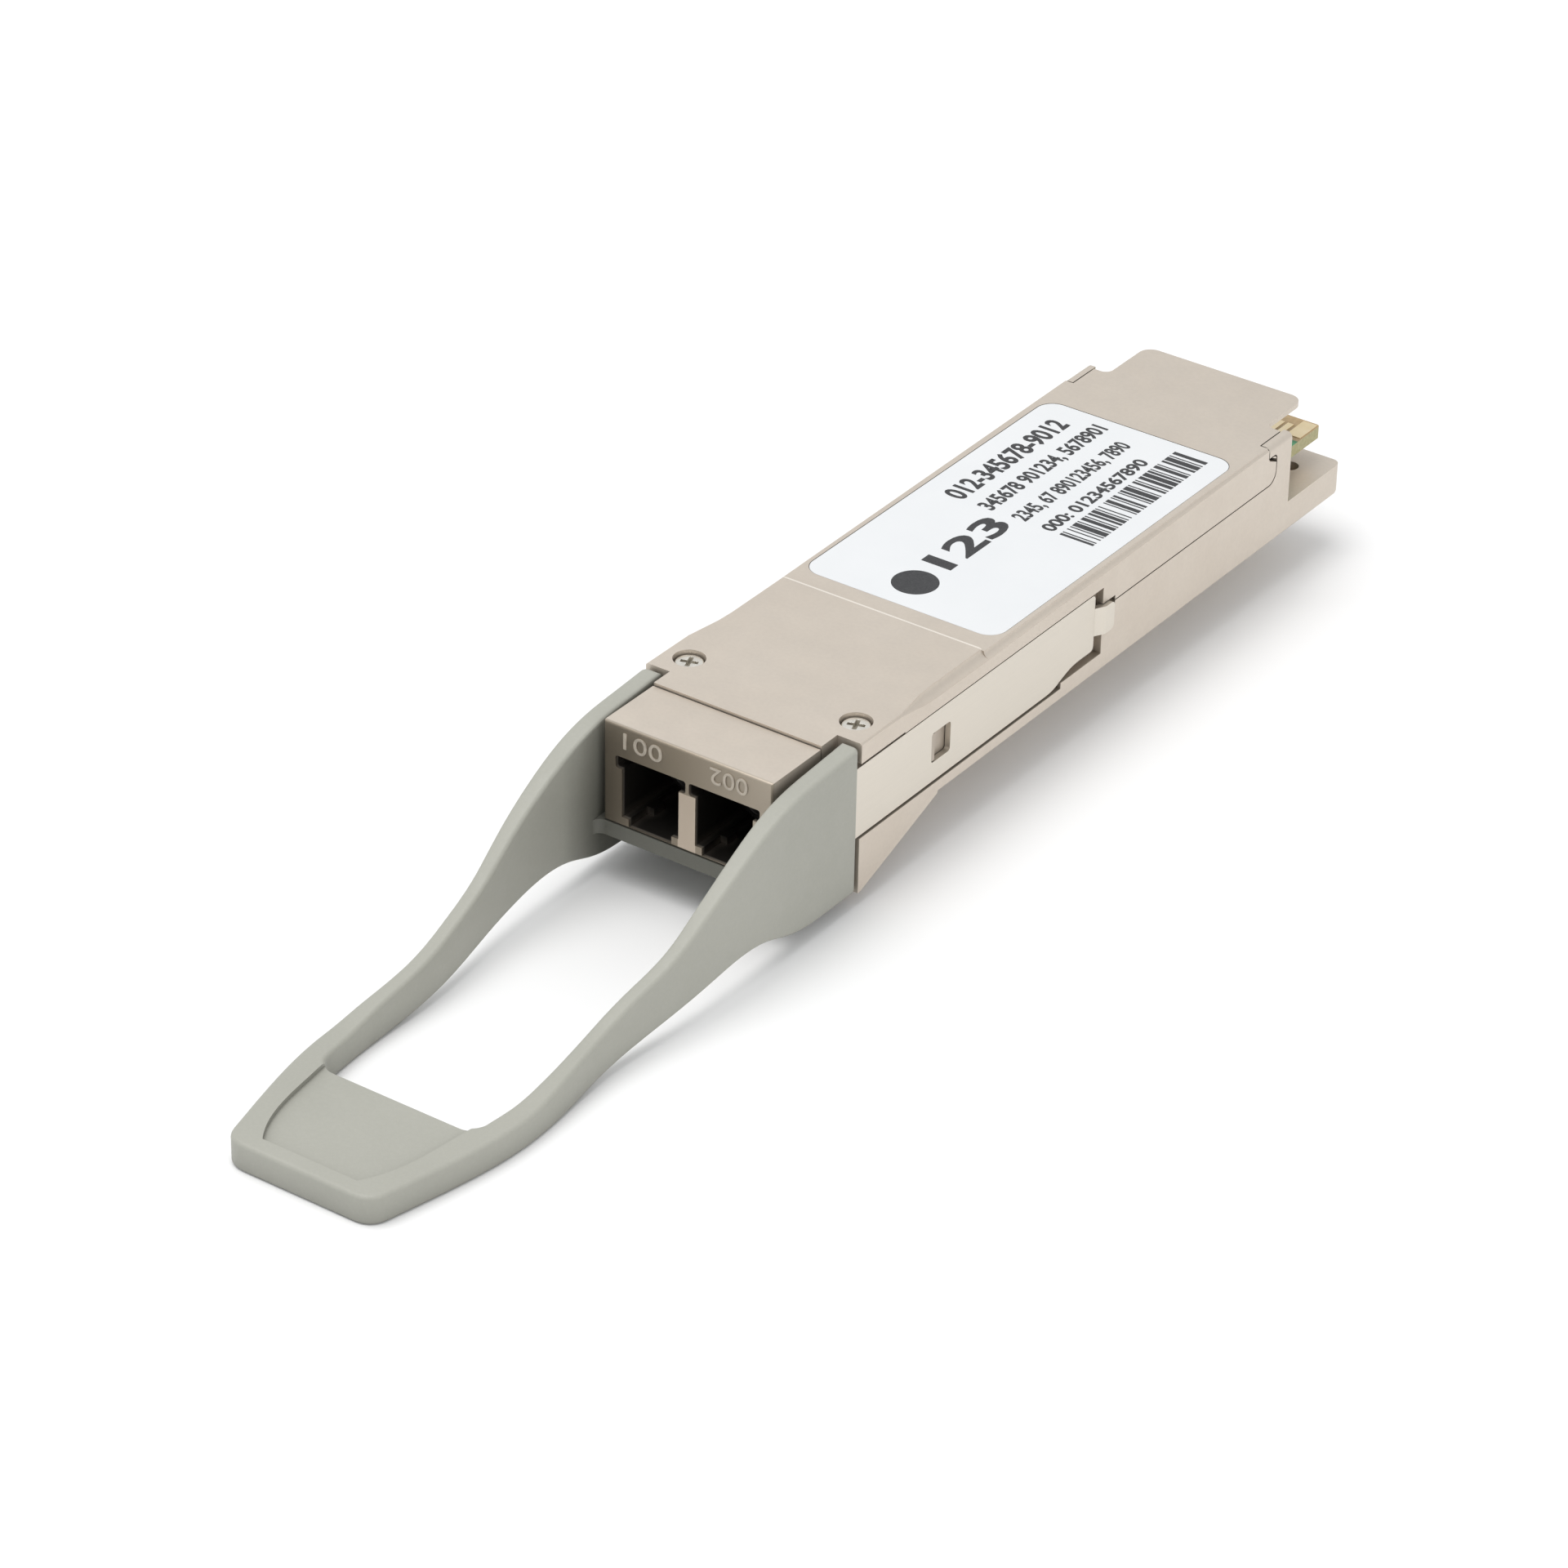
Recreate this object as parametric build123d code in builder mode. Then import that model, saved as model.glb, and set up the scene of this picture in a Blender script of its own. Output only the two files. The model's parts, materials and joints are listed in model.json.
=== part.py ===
from build123d import *
import os

# Pluggable optical transceiver with two fibre ports and a pull tab. Millimetres.
# X runs across the module and Y from the fibre ports to the electrical end. Z is up.
# Y = 0 is the front face of the nose, and Z = 0 is the underside of the case.

os.makedirs("parts", exist_ok=True)

SIDES = {"left": -1, "right": 1}

# Case
case_width = 18.35
case_height = 8.5
case_length = 72.4
half_width = case_width / 2
floor_top = 1.2
cover_inside = 7.2
parting = 5.2
parting_gap = 0.1
edge_radius = 0.45

# Front of the case
housing_front = 7.65
cover_front = 7.67
front_wall_end = 13.0
nose_half = 7.11
nose_length = 5.7
nose_edge = 0.2
nose_bottom = 0.42
nose_top = 8.45
nose_root_top = 7.15
raised_top = 8.68
raised_end = 23.45
raised_corner = 1.0
belly_depth = 3.4
belly_end = 17.36

# Rear of the case
rear_plate_top = 2.6
blind_hole = (6.33, 69.44, 0.72)
wall_end = 64.5
cover_end = 64.15
ear_front = 61.3
ear_inside = 8.4
relief_slot = ((61.3, 7.72), (61.3, 7.42), (62.45, 6.9), (62.45, 7.2))
tongue_half = 7.04
tongue_end = 69.7
tongue_thickness = 0.4

# Inside of the case: half width of the cavity, from one Y to the next
cavity = ((6.75, 12.0, 30.0), (7.85, 30.0, 40.0), (8.4, 40.0, 63.2))

# Label field on the cover
label_half = 8.4
label_start = 25.3
label_end = 57.8
label_corner = 1.5
label_recess = 0.12
label_thickness = 0.1

# Radius of the cover's long top edges at stations along Y, for the raised zone and the label zone
top_rounding = (
    (raised_top, ((7, 0.12), (12.5, 0.15), (15.5, 0.6), (17, 0.68), (raised_end, 0.68))),
    (case_height, ((raised_end, 0.5), (28, 0.45), (40, 0.35), (65, 0.15))),
)

# Fibre ports
port_pitch = 6.25
port_axis_z = 3.57
port_half = 2.42
port_bottom = 1.15
port_top = 5.98
port_flange_half = 2.98
port_flange_bottom = 5.0
port_corner = 0.2
port_depth = 9.4
latch_slot_half = 1.83
latch_slot_bottom = 0.55

# Ferrule and sleeve
ferrule_radius = 0.625
sleeve_bore_radius = 0.63
sleeve_radius = 0.88
sleeve_start = 4.4
sleeve_middle = 7.7
sleeve_end = 11.0
sleeve_relief = (7.35, 8.0)
sleeve_relief_radius = 0.8
barrel_lip_radius = 0.8

# Latch slider: sheet, travel and side pockets
sheet = 0.45
slider_face = 9.07
slider_inside = slider_face - sheet
slider_bottom = 1.2
slider_top = 6.8
slider_end = 37.5
pocket_floor = 8.575
pocket_bottom = 1.03
pocket_top = 7.0
pocket_end = 38.4
step_start = 33.1
step_height = 1.5
window = ((16.55, 18.9), (2.75, 5.15))
boss = ((16.6, 17.4), (2.85, 5.05))
boss_face = 9.02
boss_bevel = 0.4
lug = (3.3, 5.6)
lug_corner = 0.45
notch_end = 40.05
notch_gap = 0.05

strip_front = 2.5
strap_end = 6.9
strap_bottom = -0.6
spring_seat = (27.5, 29.5)

# Return springs, in grooves behind the slider
spring_x = 7.95
spring_z = 1.5
spring_start = 20.05
spring_end = 27.45
coil_radius = 0.5
wire_radius = 0.1
coils = 8

# Pull tab
tab_rear = 7.5
tab_inside = 7.65
tab_rear_corner = 0.5
tab_tip = -42.4
grip_top = -2.25
grip_bottom = -4.5
grip_rear = -32.2
grip_recess = 0.35
grip_outline = ((6.4, -31), (5.85, -35), (5.0, -39), (3.9, -41.1))
tab_top_front = ((tab_rear, 8.5), (3.5, 8.24), (0.5, 7.98), (-2.5, 7.25), (-6, 5.7), (-10, 3.4))
tab_top_grip = ((-13, 1.6), (-16.5, 0.4), (-20.5, -0.8), (-26, -1.85), (-29.5, -2.25))
tab_bottom_front = ((-5.3, -1.65), (-3, -1.95), (-1, -2.6), (3.5, -3.2))
tab_bottom_grip = ((-27, -4.5), (-20, -3.9), (-13.3, -2.85), (-9.5, -2.15))
tab_outer = ((half_width, -1), (8.8, -11), (8.0, -20), (8.5, -29), (7.75, -35), (6.36, -41))
tab_corner = ((6.36, -41), (4.5, tab_tip))
bar_blend = 0.7
bar_front_bottom = -0.8
grip_blend = 1.3
tab_inner = ((tab_inside, -bar_blend), (7.48, -12), (6.8, -19), (6.92, -25), (6.6, grip_rear + 1.3))
tab_edge_radius = 0.32
bar_top = 0.36

# Circuit board
board_bottom = 4.5
board_top = 5.5
board_end = 71.7
board_steps = ((6.6, 24.5, 30.2), (7.7, 30.15, 40.3), (8.21, 40.2, 65.0), (7.5, 64.9, board_end))
pad_count = 15
pad_pitch = 0.8
pad_width = 0.54
pad_thickness = 0.05
pad_start = 68.7
pad_end = 70.55
outer_pad = ((6.15, 7.38), (68.9, 71.5))
board_corner = 0.3

# Screws
screw_x = 7.1
screw_y = 9.96
screw_head_radius = 1.05
screw_head_top = 8.4
screw_seat_radius = 1.2
screw_seat_z = 7.95
screw_radius = 0.6
screw_bottom = 4.6
cross_length = 1.3
cross_width = 0.34
cross_angle = 20


def across(half):
    """The limits of something centred on X = 0."""
    return (-half, half)


def block(x_span, y_span, z_span, mode=Mode.ADD):
    """A box given by its limits, in the part being built."""
    spans = (x_span, y_span, z_span)
    with Locations(tuple(sum(span) / 2 for span in spans)):
        Box(*[span[1] - span[0] for span in spans], mode=mode)


def both_sides(x_span, y_span, z_span, mode=Mode.ADD):
    """The same box on the right and, mirrored, on the left."""
    block(x_span, y_span, z_span, mode)
    block((-x_span[1], -x_span[0]), y_span, z_span, mode)


def rod(x, z, radius, y_span, mode=Mode.ADD):
    """A round bar along Y."""
    with Locations((x, sum(y_span) / 2, z)):
        Cylinder(radius, y_span[1] - y_span[0], rotation=(90, 0, 0), mode=mode)


def post(x, y, radius, z_span, mode=Mode.ADD):
    """A round bar along Z."""
    with Locations((x, y, sum(z_span) / 2)):
        Cylinder(radius, z_span[1] - z_span[0], mode=mode)


def finish(piece, name):
    """Labels a finished piece and writes its file."""
    piece.part.label = name
    export_step(piece.part, f"parts/{name}.step")


def finish_at(piece, x, name):
    """Labels a piece drawn on the middle plane, moves it to its X and writes its file."""
    moved = Pos(x, 0, 0) * piece.part
    moved.label = name
    export_step(moved, f"parts/{name}.step")


def port_x(side):
    """Centre of a port."""
    return side * port_pitch / 2


def barrel_seat(x, radius, y_span):
    """A slot with a round bottom, open at the top, that a barrel drops into."""
    rod(x, port_axis_z, radius, y_span, Mode.SUBTRACT)
    block((x - radius, x + radius), y_span, (port_axis_z, case_height), Mode.SUBTRACT)


def ear_sketch(gap, x):
    """Side view, at X, of the hooked ear that stands up beside the cover's rear corner."""
    with BuildSketch(Plane.YZ.offset(x)) as ear:
        with BuildLine():
            Line((wall_end, parting - 1), (wall_end, case_height + gap))
            Line((wall_end, case_height + gap), (ear_front - gap, case_height + gap))
            Line((ear_front - gap, case_height + gap), (ear_front - gap, 7.65 - gap))
            Line((ear_front - gap, 7.65 - gap), (62.0 - gap, 7.65 - gap))
            neck_top = (62.45 - gap, 7.2 - gap)
            RadiusArc((62.0 - gap, 7.65 - gap), neck_top, 0.45)
            Line(neck_top, (62.45 - gap, 6.2))
            foot = (61.45, parting + gap)
            RadiusArc((62.45 - gap, 6.2), foot, 1.0)
            Line(foot, (61.45, parting - 1))
            Line((61.45, parting - 1), (wall_end, parting - 1))
        make_face()
    return ear.sketch


# ------------------------------------------------------------------ base housing
with BuildPart() as base_housing:
    block(across(half_width), (housing_front, case_length), (0, parting))
    fillet(base_housing.edges().filter_by(Axis.Y).group_by(Axis.Z)[0], radius=0.3)
    fillet(base_housing.edges().filter_by(Axis.Z).group_by(Axis.Y)[-1], radius=0.7)
    block(across(half_width), (housing_front, front_wall_end), (parting - 1, pocket_top))

    # Belly under the front, which stops the module against the cage
    with BuildSketch(Plane.YZ):
        with BuildLine():
            Polyline(
                (housing_front, 1),
                (housing_front, -belly_depth),
                (housing_front + 0.3, -belly_depth),
                (belly_end, 0),
                (belly_end, 1),
                close=True,
            )
        make_face()
    extrude(amount=half_width, both=True)

    # Nose and its root under the cover
    with BuildSketch(Plane.YZ):
        with Locations((nose_length / 2, (nose_bottom + nose_top) / 2)):
            Rectangle(nose_length, nose_top - nose_bottom)
    extrude(amount=nose_half, both=True)
    nose_edges = base_housing.edges().filter_by_position(Axis.Y, -0.01, 0.01)
    fillet(nose_edges, radius=nose_edge)
    block(across(nose_half), (nose_length - 0.5, front_wall_end), (nose_bottom, nose_root_top))

    # Trough for the optics and the board
    for half, start, end in cavity:
        block(across(half), (start, end), (floor_top, case_height), Mode.SUBTRACT)
    rear_half = cavity[-1][0]
    rear_span = (cavity[-1][2] - 0.1, wall_end + 0.1)
    block(across(rear_half), rear_span, (rear_plate_top, case_height), Mode.SUBTRACT)
    plate_span = (wall_end, case_length + 1)
    block(across(half_width + 1), plate_span, (rear_plate_top, case_height), Mode.SUBTRACT)

    # Ears beside the cover's rear corners
    for side in SIDES.values():
        ear = ear_sketch(0, side * ear_inside)
        extrude(ear, amount=side * (half_width - ear_inside))
    ear_tops = base_housing.edges().filter_by(Axis.Y).group_by(Axis.Z)[-1]
    fillet(ear_tops.sort_by(Axis.X)[0], radius=edge_radius)
    ear_tops = base_housing.edges().filter_by(Axis.Y).group_by(Axis.Z)[-1]
    fillet(ear_tops.sort_by(Axis.X)[-1], radius=edge_radius)

    # Lip inside the parting line
    both_sides((rear_half, rear_half + 0.33), (40.0, 60.8), (parting - 0.2, parting + 0.3))

    # Board supports, and the weir that closes the rear under the board
    both_sides((5.9, 6.9), (26.0, 27.5), (floor_top - 0.2, board_bottom))
    both_sides((7.4, 8.6), (42.0, 44.0), (floor_top - 0.2, board_bottom))
    both_sides((7.4, 8.6), (56.0, 58.0), (floor_top - 0.2, board_bottom))
    block(across(7.4), (cavity[-1][2], cavity[-1][2] + 0.6), (floor_top, board_bottom))

    # Fibre ports
    for side in SIDES.values():
        x = port_x(side)
        depth = (-0.5, port_depth)
        block((x - port_half, x + port_half), depth, (port_bottom, port_top), Mode.SUBTRACT)
        flange_z = (port_flange_bottom + port_top) / 2
        front = Plane(origin=(x, depth[0], flange_z), x_dir=(1, 0, 0), z_dir=(0, -1, 0))
        with BuildSketch(front):
            flange_height = port_top - port_flange_bottom
            RectangleRounded(2 * port_flange_half, flange_height, port_corner)
        extrude(amount=depth[0] - depth[1], mode=Mode.SUBTRACT)
        slot = (x - latch_slot_half, x + latch_slot_half)
        block(slot, depth, (latch_slot_bottom, port_bottom + 0.1), Mode.SUBTRACT)
        # Shoulders that the plug's latch catches behind
        for edge in (-1, 1):
            shoulder = sorted((x + edge * 1.25, x + edge * (latch_slot_half + 0.1)))
            block(shoulder, (2.2, 3.4), (latch_slot_bottom - 0.1, port_bottom))
        # Seat of the barrel, its flange and its neck
        barrel_seat(x, 1.6, (port_depth - 0.1, 9.8))
        barrel_seat(x, 2.35, (9.8, 10.9))
        barrel_seat(x, 1.95, (10.9, 12.1))
    block(across(6.15), (10.9, 11.7), (2.2, case_height), Mode.SUBTRACT)
    # Groove for the gasket across the front
    block(across(6.3), (7.5, 8.5), (nose_root_top - 0.4, nose_root_top + 1), Mode.SUBTRACT)

    # Side pockets, the stop bosses in them and the notches round the lugs
    pocket_span = (housing_front - 1, pocket_end)
    pocket_x = (pocket_floor, half_width + 1)
    both_sides(pocket_x, pocket_span, (pocket_bottom, pocket_top), Mode.SUBTRACT)
    step_span = (step_start, pocket_end)
    both_sides((pocket_floor, half_width), step_span, (pocket_bottom, step_height))
    notch_span = (pocket_end - 0.5, notch_end)
    both_sides((8.7, half_width + 1), notch_span, (lug[0] - notch_gap, 9), Mode.SUBTRACT)
    with BuildSketch(Plane.XY.offset(boss[1][0])):
        for side in SIDES.values():
            with BuildLine():
                Polyline(
                    (side * (pocket_floor - 0.2), boss[0][0]),
                    (side * boss_face, boss[0][0]),
                    (side * boss_face, boss[0][1] - boss_bevel),
                    (side * (boss_face - boss_bevel), boss[0][1]),
                    (side * (pocket_floor - 0.2), boss[0][1]),
                    close=True,
                )
            make_face()
    extrude(amount=boss[1][1] - boss[1][0])

    # Spring grooves
    groove = (spring_x - 0.7, pocket_floor + 0.1)
    both_sides(groove, (spring_start - 0.05, 29.8), (0.8, 2.2), Mode.SUBTRACT)

    # Screw holes, and two blind holes in the rear plate
    hole_x, hole_y, hole_radius = blind_hole
    for side in SIDES.values():
        post(side * screw_x, screw_y, screw_radius, (screw_bottom, case_height), Mode.SUBTRACT)
        post(side * hole_x, hole_y, hole_radius, (1.5, rear_plate_top + 1), Mode.SUBTRACT)
finish(base_housing, "base_housing")

# --------------------------------------------------------------------- top cover
with BuildPart() as top_cover:
    block(across(half_width), (front_wall_end, cover_end), (parting + parting_gap, case_height))
    front_bottom = pocket_top + parting_gap
    block(across(half_width), (cover_front, front_wall_end + 1), (front_bottom, case_height))

    # Raised zone, and its tongue over the nose
    with BuildSketch(Plane.XY.offset(case_height - 0.2)) as raised:
        with Locations((0, (cover_front + raised_end) / 2)):
            Rectangle(case_width, raised_end - cover_front)
        fillet(raised.vertices().group_by(Axis.Y)[-1], radius=raised_corner)
    extrude(amount=raised_top - case_height + 0.2)
    front_tongue = (nose_length + parting_gap, cover_front + 1)
    block(across(nose_half), front_tongue, (cover_inside, raised_top))

    # Rear tongue
    with BuildSketch(Plane.XY.offset(case_height)) as tongue:
        with Locations((0, (cover_end + tongue_end) / 2)):
            Rectangle(2 * tongue_half, tongue_end - cover_end)
        with Locations((0, cover_end - 1)):
            Rectangle(case_width, 2)
        corners = tongue.vertices()
        fillet(corners.group_by(Axis.Y)[-1], radius=1.1)
        fillet(tongue.vertices().filter_by_position(Axis.X, -7.1, 7.1).group_by(Axis.Y)[0], 0.7)
    extrude(amount=-tongue_thickness)

    # Rounding of the long top edges, which changes along the cover
    for side in SIDES.values():
        edge_x = side * half_width
        outer_x = side * (half_width + 0.3)
        for top, stations in top_rounding:
            for y, radius in stations:
                inner_x = side * (half_width - radius)
                low = (edge_x, top - radius)
                plane = Plane(origin=(0, y, 0), x_dir=(1, 0, 0), z_dir=(0, -1, 0))
                with BuildSketch(plane):
                    with BuildLine():
                        Polyline((inner_x, top), (inner_x, top + 0.3), (outer_x, top + 0.3))
                        Polyline((outer_x, top + 0.3), (outer_x, top - radius), low)
                        RadiusArc(low, (inner_x, top), side * radius)
                    make_face()
            loft(ruled=True, mode=Mode.SUBTRACT)

    # Hollow underside, down to the root of the nose at the front
    block(across(nose_half + parting_gap), (5, front_wall_end), (0, cover_inside), Mode.SUBTRACT)
    for half, start, end in cavity:
        y_span = (max(start, front_wall_end - 0.1), end + 2 * (end > 60))
        block(across(half), y_span, (0, cover_inside), Mode.SUBTRACT)
    lip = (cavity[-1][0] - 0.1, cavity[-1][0] + 0.33 + parting_gap)
    lip_top = parting + 0.3 + parting_gap
    both_sides(lip, (39.9, 60.9), (parting, lip_top), Mode.SUBTRACT)

    # Side pockets and the notches round the lugs
    pocket_span = (front_wall_end - 1, pocket_end)
    both_sides((pocket_floor, half_width + 1), pocket_span, (0, pocket_top), Mode.SUBTRACT)
    notch_top = lug[1] + notch_gap
    both_sides((8.7, half_width + 1), notch_span, (0, notch_top), Mode.SUBTRACT)

    # Notches for the base's ears
    for side in SIDES.values():
        notch = ear_sketch(parting_gap, side * (ear_inside - parting_gap))
        extrude(notch, amount=side * 1.5, mode=Mode.SUBTRACT)
        with BuildSketch(Plane.YZ.offset(side * ear_inside)):
            with BuildLine():
                Polyline(*relief_slot, close=True)
            make_face()
        extrude(amount=side, mode=Mode.SUBTRACT)

    # Ribs that press the board on its supports
    both_sides((7.4, 8.5), (42.0, 44.0), (board_top, cover_inside + 0.2))
    both_sides((7.4, 8.5), (56.0, 58.0), (board_top, cover_inside + 0.2))

    # Screw holes with their seats, and the shallow field for the label
    for side in SIDES.values():
        post(side * screw_x, screw_y, screw_radius + 0.02, (0, 10), Mode.SUBTRACT)
        post(side * screw_x, screw_y, screw_seat_radius, (screw_seat_z, 10), Mode.SUBTRACT)
    with BuildSketch(Plane.XY.offset(case_height)) as label_field:
        with Locations((0, (label_start + label_end) / 2)):
            RectangleRounded(2 * label_half, label_end - label_start, label_corner)
    extrude(amount=-label_recess, mode=Mode.SUBTRACT)
finish(top_cover, "top_cover")

with BuildPart() as cover_screws:
    for side in SIDES.values():
        x = side * screw_x
        post(x, screw_y, screw_radius - 0.02, (screw_bottom + 0.05, screw_seat_z + 0.1))
        post(x, screw_y, screw_head_radius, (screw_seat_z, screw_head_top))
    rims = cover_screws.edges().filter_by(GeomType.CIRCLE).group_by(Axis.Z)[-1]
    fillet(rims, radius=0.12)
    with BuildSketch(Plane.XY.offset(screw_head_top)):
        for side in SIDES.values():
            with Locations(Location((side * screw_x, screw_y), cross_angle)):
                Rectangle(cross_length, cross_width)
                Rectangle(cross_width, cross_length)
    extrude(amount=-0.4, mode=Mode.SUBTRACT)
finish(cover_screws, "cover_screws")

with BuildPart() as product_label:
    with BuildSketch(Plane.XY.offset(case_height - label_recess)):
        with Locations((0, (label_start + label_end) / 2)):
            gap = 0.05
            length = label_end - label_start - 2 * gap
            RectangleRounded(2 * (label_half - gap), length, label_corner - gap)
    extrude(amount=label_thickness)
finish(product_label, "product_label")

with BuildPart() as front_gasket:
    block(across(6.2), (7.55, 8.45), (nose_root_top - 0.4, cover_inside))
finish(front_gasket, "front_gasket")

# ----------------------------------------------------------------- circuit board
with BuildPart() as circuit_board:
    for half, start, end in board_steps:
        block(across(half), (start, end), (board_bottom, board_top))
    fillet(circuit_board.edges().filter_by(Axis.Z).group_by(Axis.Y)[-1], radius=board_corner)
    for x in (-7.0, 7.0):
        post(x, 36.0, 0.5, (board_bottom - 1, board_top + 1), Mode.SUBTRACT)
finish(circuit_board, "circuit_board")


def contact_row(z_span):
    """The row of contact pads at the end of the board, with wide ground pads at both ends."""
    first = -(pad_count - 1) / 2 * pad_pitch
    for index in range(pad_count):
        x = first + index * pad_pitch
        block((x - pad_width / 2, x + pad_width / 2), (pad_start, pad_end), z_span)
    both_sides(outer_pad[0], outer_pad[1], z_span)


with BuildPart() as contacts_top:
    contact_row((board_top, board_top + pad_thickness))
finish(contacts_top, "contacts_top")

with BuildPart() as contacts_bottom:
    contact_row((board_bottom - pad_thickness, board_bottom))
finish(contacts_bottom, "contacts_bottom")

# Chips on the board: name, centre X and Y, width, length, height
chips = (
    ("retimer_chip", 0.0, 46.5, 9.0, 9.0, 1.2),
    ("laser_driver", -3.5, 32.0, 4.0, 4.0, 0.8),
    ("receiver_amplifier", 3.5, 32.0, 4.0, 4.0, 0.8),
    ("microcontroller", -4.2, 57.0, 5.0, 5.0, 0.8),
    ("clock_crystal", 0.4, 54.2, 2.5, 2.0, 0.7),
)
for name, x, y, width, length, height in chips:
    with BuildPart() as chip:
        x_span = (x - width / 2, x + width / 2)
        y_span = (y - length / 2, y + length / 2)
        block(x_span, y_span, (board_top, board_top + height))
        chamfer(chip.edges().group_by(Axis.Z)[-1], length=0.08)
        dot_x = x - width / 2 + 0.5
        dot_y = y - length / 2 + 0.5
        post(dot_x, dot_y, 0.18, (board_top + height - 0.04, 8), Mode.SUBTRACT)
    finish(chip, name)

with BuildPart() as retimer_thermal_pad:
    block(across(4.0), (42.5, 50.5), (board_top + 1.2, cover_inside))
finish(retimer_thermal_pad, "retimer_thermal_pad")

with BuildPart() as power_inductors:
    for y in (55.9, 59.6):
        block((2.6, 5.6), (y - 1.5, y + 1.5), (board_top, board_top + 1.3))
    fillet(power_inductors.edges().filter_by(Axis.Z), radius=0.35)
finish(power_inductors, "power_inductors")

with BuildPart() as ceramic_capacitors:
    for x in (-6.4, 6.4):
        for y in (34.0, 45.5, 47.0, 48.5):
            block((x - 0.5, x + 0.5), (y - 0.25, y + 0.25), (board_top, board_top + 0.5))
    for index in range(8):
        x = -6.3 + index * 1.8
        block((x - 0.25, x + 0.25), (64.5, 65.5), (board_top, board_top + 0.5))
finish(ceramic_capacitors, "ceramic_capacitors")

# ------------------------------------------------------------------------ optics
with BuildPart() as barrel_clamp:
    block(across(6.1), (10.95, 11.65), (2.3, cover_inside - 0.1))
    for side in SIDES.values():
        x = port_x(side)
        rod(x, port_axis_z, 1.55, (10, 13), Mode.SUBTRACT)
        block((x - 1.55, x + 1.55), (10, 13), (0, port_axis_z), Mode.SUBTRACT)
finish(barrel_clamp, "barrel_clamp")

with BuildPart() as can_thermal_pad:
    block(across(5.3), (13.8, 17.8), (6.7, cover_inside))
finish(can_thermal_pad, "can_thermal_pad")

for name, side in SIDES.items():
    x = port_x(side)
    z = port_axis_z

    with BuildPart() as barrel:
        rod(x, z, 1.475, (4.0, 9.9))
        rod(x, z, 2.3, (9.8, 10.8))
        rod(x, z, 1.5, (10.7, 11.9))
        rod(x, z, 1.9, (11.8, 14.5))
        rod(x, z, sleeve_radius + 0.02, (4.3, sleeve_end + 0.05), Mode.SUBTRACT)
        rod(x, z, barrel_lip_radius, (3.9, 4.5), Mode.SUBTRACT)
        rod(x, z, ferrule_radius + 0.015, (sleeve_end, 12.05), Mode.SUBTRACT)
        rod(x, z, 0.4, (12, 15), Mode.SUBTRACT)
        mouth = barrel.edges().filter_by(GeomType.CIRCLE).group_by(Axis.Y)[0]
        chamfer(mouth, length=0.15)
    finish(barrel, f"{name}_receptacle_barrel")

    with BuildPart() as sleeve:
        rod(x, z, sleeve_radius, (sleeve_start, sleeve_end))
        rod(x, z, sleeve_bore_radius, (sleeve_start - 1, sleeve_end + 1), Mode.SUBTRACT)
        rod(x, z, sleeve_relief_radius, sleeve_relief, Mode.SUBTRACT)
        slit = (x - 0.12, x + 0.12)
        block(slit, (sleeve_start - 1, sleeve_end + 1), (z, z + 2), Mode.SUBTRACT)
    finish(sleeve, f"{name}_split_sleeve")

    with BuildPart() as stub:
        rod(x, z, ferrule_radius, (sleeve_middle, 12.0))
        chamfer(stub.edges().group_by(Axis.Y)[0], length=0.12)
    finish(stub, f"{name}_ferrule_stub")

    with BuildPart() as body:
        block((x - 2.85, x + 2.85), (13.2, 19.0), (1.22, 5.92))
        fillet(body.edges().filter_by(Axis.Y), radius=0.4)
        rod(x, z, 1.93, (13, 14.55), Mode.SUBTRACT)
        block((x - 0.8, x + 0.8), (14.5, 17.1), (2.77, 4.95), Mode.SUBTRACT)
        rod(x, z, 2.0, (17.0, 20), Mode.SUBTRACT)
        post(x, 15.85, 1.25, (4.9, 7), Mode.SUBTRACT)
    finish(body, f"{name}_optics_body")

    with BuildPart() as filter_plate:
        with Locations(Location((x, 15.8, z), (45, 0, 0))):
            Box(1.6, 2.0, 0.2)
    finish(filter_plate, f"{name}_wavelength_filter")

    with BuildPart() as laser_can:
        rod(x, z, 1.95, (17.2, 19.1))
        rod(x, z, 2.3, (19.0, 20.2))
        rod(x, z, 0.6, (17.0, 17.5), Mode.SUBTRACT)
        for pin_x in (x - 0.9, x + 0.9):
            for pin_z in (2.5, 3.6):
                rod(pin_x, pin_z, 0.15, (20.1, 21.94))
    finish(laser_can, f"{name}_laser_can")

    with BuildPart() as receiver_can:
        post(x, 15.85, 1.2, (4.95, 6.0))
        post(x, 15.85, 1.9, (5.92, 6.4))
        post(x, 15.85, 0.5, (4.9, 5.2), Mode.SUBTRACT)
        for pin_x in (x - 0.8, x + 0.8):
            for pin_y in (15.05, 16.65):
                post(pin_x, pin_y, 0.15, (6.3, 6.56))
    finish(receiver_can, f"{name}_receiver_can")

    with BuildPart() as transmit_flex:
        with BuildSketch(Plane.YZ):
            with BuildLine():
                FilletPolyline((22.0, 1.7), (22.0, 4.42), (27.5, 4.42), radius=0.6)
            trace(line_width=0.12)
        extrude(amount=2.0, both=True)
    finish_at(transmit_flex, x, f"{name}_transmit_flex")

    with BuildPart() as receive_flex:
        with BuildSketch(Plane.YZ):
            with BuildLine():
                FilletPolyline((14.2, 6.63), (20.5, 6.63), (23.2, 5.57), (28.5, 5.57), radius=1)
            trace(line_width=0.12)
        extrude(amount=2.0, both=True)
    finish_at(receive_flex, x, f"{name}_receive_flex")

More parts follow.
